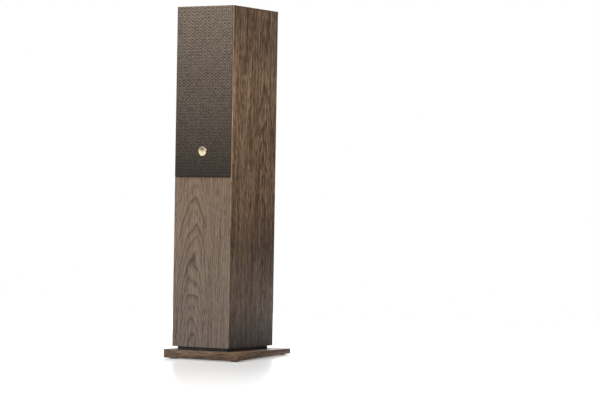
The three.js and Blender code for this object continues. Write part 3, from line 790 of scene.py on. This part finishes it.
def cabinet_board(name, planes, materials):
    """The part of the shell behind each plane, which is a point on it and the normal out of the board."""
    shell = cabinet_shell()
    for point, normal in planes:
        parts = list(shell.verts) + list(shell.edges) + list(shell.faces)
        cut = bmesh.ops.bisect_plane(shell, geom=parts, plane_co=point, plane_no=normal, clear_outer=True)
        edges = [part for part in cut["geom_cut"] if isinstance(part, bmesh.types.BMEdge)]
        bmesh.ops.contextual_create(shell, geom=edges)
    shell.verts.index_update()
    shape = ([vertex.co.copy() for vertex in shell.verts],
             [[vertex.index for vertex in face.verts] for face in shell.faces])
    shell.free()
    board = build(name, shape, materials)
    for face in board.data.polygons:
        centre = face.center / MM
        outside = max(abs(centre.x) - HALF_WIDTH, -centre.y, centre.y - CABINET_DEPTH,
                      -centre.z, centre.z - CABINET_HEIGHT)
        face.material_index = 0 if outside > -EDGE_ROUNDING else 1
    return board


def mitre_planes():
    """The planes of the mitres: front to side, front to end, and side to end, for the right and the top."""
    front_to_side = (Vector((HALF_WIDTH, 0, 0)), Vector((BAFFLE_THICKNESS, WALL_THICKNESS, 0)))
    front_to_top = (Vector((0, 0, CABINET_HEIGHT)), Vector((0, WALL_THICKNESS, BAFFLE_THICKNESS)))
    side_to_top = (Vector((HALF_WIDTH, 0, CABINET_HEIGHT)), Vector((-1, 0, 1)))
    return front_to_side, front_to_top, side_to_top


def flip_x(plane):
    return tuple(Vector((-part.x, part.y, part.z)) for part in plane)


def flip_z(plane):
    point, normal = plane
    return Vector((point.x, point.y, CABINET_HEIGHT - point.z)), Vector((normal.x, normal.y, -normal.z))


def driver_cutters():
    """The pocket in the baffle, and a rebate and a hole for each driver."""
    pocket_depth = local_box("woofer_lower_basket")[0].y
    pocket = lofted([(0, -5), (0, pocket_depth)], *POCKET_SIZE, 6)
    cutters = [build("cut_pocket", pocket, mat_board, at=(0, 0, POCKET_MIDDLE))]
    for name, flange, hole in (("woofer_lower_basket", 71, 62), ("woofer_upper_basket", 71, 62),
                               ("tweeter_faceplate", 47, 31)):
        rebate = flange + 0.5
        seat = FLANGE_THICKNESS + CLEARANCE
        profile = [(0, -2), (rebate, -2), (rebate, seat), (hole, seat), (hole, 20), (0, 20)]
        cutters.append(build("cut_" + name, turned(profile), mat_board, at=(0, pocket_depth, middle(name).z)))
    magnet_hole = turned([(0, -1), (3.15, -1), (3.15, 3.4), (0, 3.4)], steps=32)
    cutters += [build("cut_magnet", magnet_hole, mat_board, at=front_middle(name, y=0)) for name in MAGNETS]
    return cutters


def reversed_plane(plane):
    return plane[0], -plane[1]


def add_cabinet():
    front_to_side, front_to_top, side_to_top = mitre_planes()
    behind_front = (Vector((0, BAFFLE_THICKNESS, 0)), Vector((0, 1, 0)))
    beside_wall = (Vector((HALF_WIDTH - WALL_THICKNESS, 0, 0)), Vector((-1, 0, 0)))
    under_wall = (Vector((0, 0, CABINET_HEIGHT - WALL_THICKNESS)), Vector((0, 0, -1)))

    front_planes = [front_to_side, flip_x(front_to_side), front_to_top, flip_z(front_to_top), behind_front]
    front = cabinet_board("baffle_board", front_planes, [mat_front, mat_board, mat_black_paint])
    carve(front, *driver_cutters())
    for face in front.data.polygons:
        centre = face.center / MM
        beside = abs(centre.x) < POCKET_SIZE[0] / 2 + 1
        level = abs(centre.z - POCKET_MIDDLE) < POCKET_SIZE[1] / 2 + 4
        if beside and level and 0.4 < centre.y < BAFFLE_THICKNESS - 1:
            face.material_index = 2
    smooth_over(front, 35)
    settle(front, "root", "walnut_front", "front_baffle")

    side_planes = [reversed_plane(front_to_side), side_to_top, flip_z(side_to_top), beside_wall]
    end_planes = [reversed_plane(front_to_top), reversed_plane(side_to_top),
                  flip_x(reversed_plane(side_to_top)), under_wall]
    boards = (
        ("side_board_right", "side_panel_right", side_planes, mat_side),
        ("side_board_left", "side_panel_left", [flip_x(plane) for plane in side_planes], mat_side),
        ("top_board", "top_panel", end_planes, mat_top),
        ("bottom_board", "bottom_panel", [flip_z(plane) for plane in end_planes], mat_top),
    )
    for name, node_name, planes, material in boards:
        settle(cabinet_board(name, planes, [material, mat_board]), "root", "walnut_side", node_name)


def repaint(node_name, material, edges=0.0):
    """Gives a CAD node a finished material, and a fine rounding on its edges."""
    part = frame["nodes"][node_name]
    part.data.materials.clear()
    part.data.materials.append(material)
    if edges:
        bevel_edges(part, edges, segments=2, sharper_than=50)


def add_plinth():
    """The wedge under the cabinet, with eased edges, its grain running along each of its faces."""
    low, high = local_box("plinth", WORLD)
    front_top = high.z
    lean = CABINET.to_euler().x
    rear_top = front_top + math.tan(lean) * (high.y - low.y)
    corners = [(x, y, z) for x in (low.x, high.x)
               for y, z in ((low.y, low.z), (high.y, low.z), (high.y, rear_top), (low.y, front_top))]
    faces = [(0, 1, 2, 3), (4, 5, 6, 7), (0, 1, 5, 4), (1, 2, 6, 5), (2, 3, 7, 6), (3, 0, 4, 7)]
    plinth = build("plinth_board", (corners, faces), [mat_plinth_top, mat_plinth_front, mat_plinth_side],
                   matrix=WORLD)
    bevel_edges(plinth, 1.0, segments=3, sharper_than=30)
    apply_modifiers(plinth)
    sink = turned([(0, -30), (6.3, -30), (6.3, 5), (0, 5)], steps=48)
    cutters = []
    for corner in FOUR_CORNERS:
        bolt = middle(f"plinth_bolt_{corner}", WORLD)
        cutters.append(build("cut_bolt", sink, mat_black_paint, upright(WORLD, (bolt.x, bolt.y, low.z))))
    carve(plinth, *cutters)
    for face in plinth.data.polygons:
        steepest = max(range(3), key=lambda axis: abs(face.normal[axis]))
        face.material_index = (2, 1, 0)[steepest]
    smooth_over(plinth, 35)
    settle(plinth, "root", "walnut_plinth", "plinth")


def add_feet():
    profile = [(0, 0), (10.6, 0), (12, 0.8), (12, 2.7), (0, 2.7)]
    for corner in FOUR_CORNERS:
        name = f"foot_{corner}"
        round_piece(f"rubber_{name}", profile, mat_foot_rubber, (0, 0, 0), "root", "rubber", name, soft=0.5,
                    steps=64, matrix=standing(name, WORLD))


def add_bolts():
    """Socket-head bolts that go up through the plinth and the spacer into the cabinet's floor."""
    head = [(0, 2.4), (2.5, 2.4), (2.5, 0), (6, 0), (6, 4), (3, 4), (3, 36), (0, 36)]
    for corner in FOUR_CORNERS:
        name = f"plinth_bolt_{corner}"
        round_piece(f"steel_{name}", head, mat_dark_steel, (0, 0, 0), "root", "dark_steel", name, soft=0.5,
                    reshape=hexagon(5.0), matrix=standing(name))


# ---- Drivers: in their outlines, y = 0 is the front of the flange ----

def screw(name, at, radius, matrix=CABINET, turn=0.0):
    """A domed socket-head screw whose head stands on the surface at that point."""
    socket = 0.42 * radius
    profile = [(0, 0.9 - 0.35 * radius), (socket, 0.9 - 0.35 * radius), (socket, -0.52 * radius),
               (0.72 * radius, -0.45 * radius), (radius, 0), (radius, 0.6), (0, 0.6)]
    shape = turned(softened(profile, 0.25), steps=48, reshape=hexagon(2 * socket))
    head = build(name, shape, mat_dark_steel, matrix=matrix, at=at)
    head.matrix_world = head.matrix_world @ Matrix.Rotation(turn, 4, "Y")
    settle(head, "root", "dark_steel")


def add_flange_screws(name, centre, circle, radius, turn):
    """Four screws on a circle round a driver's centre, each turned a bit further than the last."""
    for corner in range(4):
        angle = math.pi / 4 + corner * math.pi / 2
        place = centre + Vector((circle * math.cos(angle), -0.2, circle * math.sin(angle)))
        screw(f"{name}_screw_{corner + 1}", place, radius, turn=turn * corner)


def rolled(centre, radius, rise, lip_in, lip_out, thickness, steps=14):
    """A flattened half roll's closed section: its front, and its back a thickness behind it.

    Its rise is low enough for the cone at full stroke to stay behind the grille's ribs.
    """
    turns = [math.pi * step / steps for step in range(steps + 1)]

    def arc(reach, high):
        return [(centre + reach * math.cos(turn), 1 - high * math.sin(turn)) for turn in turns]

    return [(lip_out, 0.8), *arc(radius, rise), (lip_in, 1), (lip_in, 1.4),
            *reversed(arc(radius - thickness, rise - thickness)), (lip_out, 1.5)]


def corrugated(inner, outer, y, wave, height, thickness, fade=2, steps=68):
    """A spider's closed section: a cloth whose waves fade out towards its inner and outer edge."""
    radii = [inner + (outer - inner) * step / steps for step in range(steps + 1)]
    front = [(radius, y + height * math.sin((radius - inner) * 2 * math.pi / wave)
              * min(1, (radius - inner) / fade, (outer - radius) / fade)) for radius in radii]
    return front + [(radius, y + thickness) for radius, y in reversed(front)]


def woofer_basket(name, at):
    """A cast basket with a flange, six windows behind it and a ring that clamps the surround."""
    section = [(60.5, 0), (71, 0), (71, 3.5), (61, 3.5), (59.5, 10), (46.5, 28.5), (41, 28.5), (41, 36.5),
               (20, 36.5), (20, 34.5), (38, 34.5), (38, 26), (45, 26), (57, 9), (56.5, 1.8), (60.5, 1.8)]
    shape = turned(softened(section, 0.6, closed=True), closed=True)
    basket = build(f"{name}_frame", shape, mat_basket, at=at)
    slots = []
    for turn in range(3):
        corners = [(x, y, z) for x in (-80, 80) for y in (12, 23.5) for z in (-12, 12)]
        faces = [(0, 1, 3, 2), (4, 5, 7, 6), (0, 1, 5, 4), (2, 3, 7, 6), (0, 2, 6, 4), (1, 3, 7, 5)]
        slot = build("cut_window", (corners, faces), mat_basket, at=at)
        slot.matrix_world = slot.matrix_world @ Matrix.Rotation(turn * math.pi / 3, 4, "Y")
        slots.append(slot)
    carve(basket, *slots)
    smooth_over(basket, 35)
    settle(basket, "root", "dark_steel", f"{name}_basket")


def add_woofer(name, body):
    at = front_middle(f"{name}_basket")
    woofer_basket(name, at)
    add_flange_screws(name, at, circle=66, radius=2.6, turn=0.4)
    roll = rolled(centre=50.8, radius=6, rise=3.7, lip_in=42.8, lip_out=60.1, thickness=0.7)
    blended_piece(f"{name}_roll", roll, mat_rubber, at, body, f"{name}_surround", 58.5, 43.5)
    waves = corrugated(inner=14.8, outer=42, y=25.3, wave=4.6, height=0.9, thickness=0.4)
    blended_piece(f"{name}_corrugation", waves, mat_spider, at, body, f"{name}_spider", 41,
                  16)
    cap = [(0, 9.4), (4, 9.6), (8, 10.3), (11.5, 11.4), (14, 12.5), (17, 14.2), (19.4, 15.6), (19, 16.1),
           (13.6, 13.2), (7.8, 11.1), (0, 10.2)]
    cone = [(45.3, 1.9), (38, 5.2), (30, 9.6), (22, 14.5), (14.4, 19.4), (14.4, 22.6), (13.6, 22.6),
            (13.6, 20.4), (22, 15.6), (30, 10.8), (38, 6.4), (45.3, 3)]
    round_piece(f"{name}_paper_cone", cone, mat_cone, at, body, "cone_paper", f"{name}_cone", soft=0.8)
    piece = build(f"{name}_cap", turned(cap), mat_cone, at=at, smooth=50)
    settle(piece, body, "cone_paper", f"{name}_dust_cap")
    rings = (
        ("former", "voice_coil", mat_copper, body, "copper",
         [(12.5, 20), (13.2, 20), (13.2, 44), (12.5, 44)]),
        ("front_plate", "top_plate", mat_steel, "root", "steel",
         [(14, 36.8), (36, 36.8), (36, 41.8), (14, 41.8)]),
        ("ferrite_ring", "magnet", mat_ferrite, "root", "ferrite",
         [(24, 42.1), (42, 42.1), (42, 57.1), (24, 57.1)]),
        ("pole", "yoke", mat_steel, "root", "steel",
         [(5, 37.2), (12, 37.2), (12, 57.4), (40, 57.4), (40, 62.4), (5, 62.4)]),
    )
    for suffix, part, material, rides_on, slot, profile in rings:
        round_piece(f"{name}_{suffix}", profile, material, at, rides_on, slot, f"{name}_{part}", soft=0.4)


def add_tweeter():
    at = front_middle("tweeter_faceplate")
    plate = [(47, 0), (47, 3.5), (30, 3.5), (30, 5.5), (17.5, 5.5), (17.5, 3.6), (20, 2.3), (24, 1.0),
             (30, 0)]
    round_piece("tweeter_waveguide", plate, mat_black_plastic, at, "root", "black_plastic",
                "tweeter_faceplate", soft=0.5)
    add_flange_screws("tweeter", at, circle=40, radius=2.2, turn=0.5)
    roll = [(19.5, 5.8), (17, 5.8), (16.4, 4.6), (15.2, 4), (14, 4.6), (13.4, 5.8), (13.4, 6.2), (14.4, 5.2),
            (15.2, 4.6), (16, 5.2), (16.8, 6.2), (19.5, 6.2)]
    blended_piece("tweeter_roll", softened(roll, 0.8, closed=True), mat_silk, at, "tweeter_moving",
                  "tweeter_surround", 19, 13.6)
    turns = [math.radians(turn) for turn in range(0, 91, 6)]
    outside = [(12.9 * math.sin(turn), 5.6 - 6.4 * math.cos(turn)) for turn in turns]
    inside = [(radius * 0.962, y + 0.5) for radius, y in reversed(outside)]
    dome = build("tweeter_silk_dome", turned(outside + inside), mat_silk, at=at, smooth=60)
    settle(dome, "tweeter_moving", "silk", "tweeter_dome")
    coil = [(12.65, 6.4), (13.1, 6.4), (13.1, 11), (12.65, 11)]
    round_piece("tweeter_coil", coil, mat_copper, at, "tweeter_moving", "copper", "tweeter_voice_coil", 0.1)
    slug = [(0, 7), (12.2, 7), (12.2, 16.7), (0, 16.7)]
    round_piece("tweeter_slug", slug, mat_steel, at, "root", "steel", "tweeter_magnet", soft=0.4)
    pot = [(0, 20), (20, 20), (20, 6.8), (13.7, 6.8), (13.7, 17), (0, 17)]
    round_piece("tweeter_pot", pot, mat_dark_steel, at, "root", "dark_steel", "tweeter_yoke", soft=0.4)


# ---- Back: reflex port and terminals ----

REAR_FLANGE = 2.5  # how thick the port's and the terminal cup's flanges are


def add_port():
    """The port's tube, with a flare that opens over the last 14 mm to a flange on the rear panel."""
    low, high = local_box("port_tube")
    panel = high.y - REAR_FLANGE
    turns = [math.radians(turn) for turn in range(0, 91, 9)]
    flare = [(25 + 6 * (1 - math.cos(turn)), high.y - 14 * (1 - math.sin(turn))) for turn in turns]
    profile = [*flare, (36.2, high.y), (38, panel + 1.6), (38, panel), (27.6, panel), (27, panel - 8),
               (27, low.y), (25, low.y)]
    round_piece("flared_port", profile, mat_black_plastic, front_middle("port_tube", y=0), "root",
                "black_plastic", "port_tube", soft=0.6, steps=128)


def add_terminal_cup():
    """A square cup sunk into the rear panel, with four screws in its flange."""
    low, high = local_box("terminal_cup")
    centre = front_middle("terminal_cup", y=0)
    panel = high.y - REAR_FLANGE
    floor = panel - 20
    side = 84
    to_screw = 36.5
    profile = [(8, low.y), (8, panel), (0, panel), (0, high.y), (9.2, high.y), (10.4, floor + 0.3),
               (11.5, floor)]
    shape = lofted(softened(profile, 0.9), side, side, 8)
    cup = build("terminal_recess", shape, mat_black_plastic, at=centre, smooth=40)
    settle(cup, "root", "black_plastic", "terminal_cup")
    for corner, (side_x, side_z) in enumerate([(1, 1), (-1, 1), (-1, -1), (1, -1)]):
        place = centre + Vector((side_x * to_screw, high.y - 0.1, side_z * to_screw))
        facing_back = CABINET @ Matrix.Translation(place * MM) @ Matrix.Rotation(math.pi, 4, "Z")
        screw(f"cup_screw_{corner + 1}", (0, 0, 0), 2.2, matrix=facing_back, turn=0.6 * corner)


def threaded(radius, low, high, pitch=0.9, depth=0.28):
    """The outline of a thread between two places on its axis."""
    turns = int((high - low) / pitch)
    return [(radius - (depth if half % 2 else 0.0), low + half * pitch / 2) for half in range(2 * turns + 1)]


def fluted(radius, angle):
    """A reshape for a cap: twelve round flutes near its outside, fading out towards its bore."""
    fade = min(max((radius - 6.0) / 1.5, 0), 1)
    return radius - 0.5 * (1 - math.cos(12 * angle)) * fade


def add_posts():
    """A gold-plated post, washer and fluted cap on each side of the cup."""
    plastics = (("red", mat_red_plastic, "red_plastic"), ("black", mat_black_plastic, "black_plastic"))
    behind_cup = 12
    for colour, plastic, slot in plastics:
        at = front_middle(f"binding_post_{colour}") + Vector((0, behind_cup, 0))
        rod = [(0, -behind_cup), (3, -behind_cup), (3, CLEARANCE), (7, CLEARANCE), (7, 3), (3, 3),
               *threaded(3, 3.4, 16.2), (2.1, 16.5), (2.1, 4), (0, 4)]
        post = build(f"gold_post_{colour}", turned(rod, steps=64), mat_gold, at=at, smooth=30)
        settle(post, "root", "gold_plate", f"binding_post_{colour}")
        ring = [(3.5, 3.3), (7, 3.3), (7, 4.7), (3.5, 4.7)]
        round_piece(f"gold_washer_{colour}", ring, mat_gold, at, f"washer_{colour}", "gold_plate",
                    f"post_washer_{colour}", soft=0.25, steps=64)
        grip = [(3.5, 5), (7, 5), (7.9, 5.8), (7.9, 18), (7, 19), (4.4, 19), (4.4, 17.6), (3.5, 17.6)]
        round_piece(f"fluted_cap_{colour}", grip, plastic, at, f"cap_{colour}", slot, f"post_cap_{colour}",
                    soft=0.5, steps=144, reshape=fluted)


# ---- Inside: wadding and crossover ----

def add_wadding():
    """A loose pad of polyester wadding against the rear panel, its faces uneven and its edges full."""
    low, high = local_box("damping_wadding")
    size = high - low
    profile = [(14, 0), (5, 0.06), (1, 0.22), (0, 0.5), (1, 0.78), (5, 0.94), (14, 1)]
    outline = [(inset, (share - 0.5) * size.y) for inset, share in profile]
    pad = build("wadding_pad", lofted(outline, size.x, size.z, 22), mat_wadding, at=middle("damping_wadding"),
                smooth=60)
    remesh = pad.modifiers.new("even", "REMESH")
    remesh.mode = "VOXEL"
    remesh.voxel_size = 5 * MM
    clouds = bpy.data.textures.new("tufts", "CLOUDS")
    clouds.noise_scale = 0.035
    tufts = pad.modifiers.new("tufts", "DISPLACE")
    tufts.texture = clouds
    tufts.strength = 3.0 * MM
    tufts.mid_level = 0.75
    apply_modifiers(pad)
    smooth_over(pad, 80)
    settle(pad, "root", "wadding", "damping_wadding")


def add_crossover():
    low, high = local_box("crossover_inductor")
    height = high.z - low.z
    coil = [(9, 0), (22, 0), (22, height), (9, height)]
    round_piece("crossover_coil", coil, mat_copper_coil, (0, 0, 0), "root", "copper", "crossover_inductor",
                soft=2.0, matrix=standing("crossover_inductor"))
    low, high = local_box("crossover_capacitor")
    can = [(0, low.y), (8.2, low.y), (9, low.y + 1), (9, high.y - 1), (8.2, high.y), (0, high.y)]
    round_piece("crossover_can", can, mat_red_plastic, front_middle("crossover_capacitor", y=0), "root",
                "red_plastic", "crossover_capacitor", soft=0.8)


# ---- Grille ----

def add_grille():
    """Cloth stretched over the frame, wrapped round its edges and glued down behind, and a brass badge."""
    low, high = local_box("grille_cloth")
    wrap = 0.35  # how far the cloth stands out round the frame's edges
    turned_in = 8.0  # how much of it is glued down behind each edge
    width = high.x - low.x + 2 * wrap
    height = high.z - low.z + 2 * wrap
    fold = 1.2
    turns = [math.radians(turn) for turn in range(0, 91, 10)]
    turn_back = [(fold - fold * math.sin(turn), low.y + fold - fold * math.cos(turn)) for turn in turns]
    profile = [*turn_back, (0, -0.6), (0.2, -0.2), (0.6, -0.16), (turned_in, -0.16)]
    cloth = build("stretched_cloth", lofted(profile, width, height, 1.6, end_face=False), mat_fabric,
                  at=front_middle("grille_cloth", y=0), smooth=50)
    settle(cloth, "grille", "grille_cloth", "grille_cloth")

    low, high = local_box("grille_badge")
    radius = (high.x - low.x) / 2
    thickness = high.y - low.y
    face = [(0, 0.30), (radius - 2.1, 0.30), (radius - 1.8, 0.0), (radius - 0.5, 0.0), (radius, 0.5),
            (radius, thickness), (0, thickness)]
    round_piece("brass_badge", face, mat_badge, front_middle("grille_badge"), "grille", "brass",
                "grille_badge", soft=0.2, steps=128)


# ---- The whole speaker ----

add_cabinet()
add_plinth()
add_feet()
add_bolts()
for woofer in ("woofer_lower", "woofer_upper"):
    add_woofer(woofer, f"{woofer}_moving")
add_tweeter()
add_port()
add_terminal_cup()
add_posts()
add_wadding()
add_crossover()
add_grille()

repaint("rear_panel", mat_black_paint, edges=0.8)
repaint("plinth_spacer", mat_black_paint, edges=0.8)
repaint("window_brace", mat_board, edges=0.8)
repaint("crossover_board", mat_board)
repaint("grille_frame", mat_black_plastic)
for magnet in MAGNETS:
    repaint(magnet, mat_steel, edges=0.3)
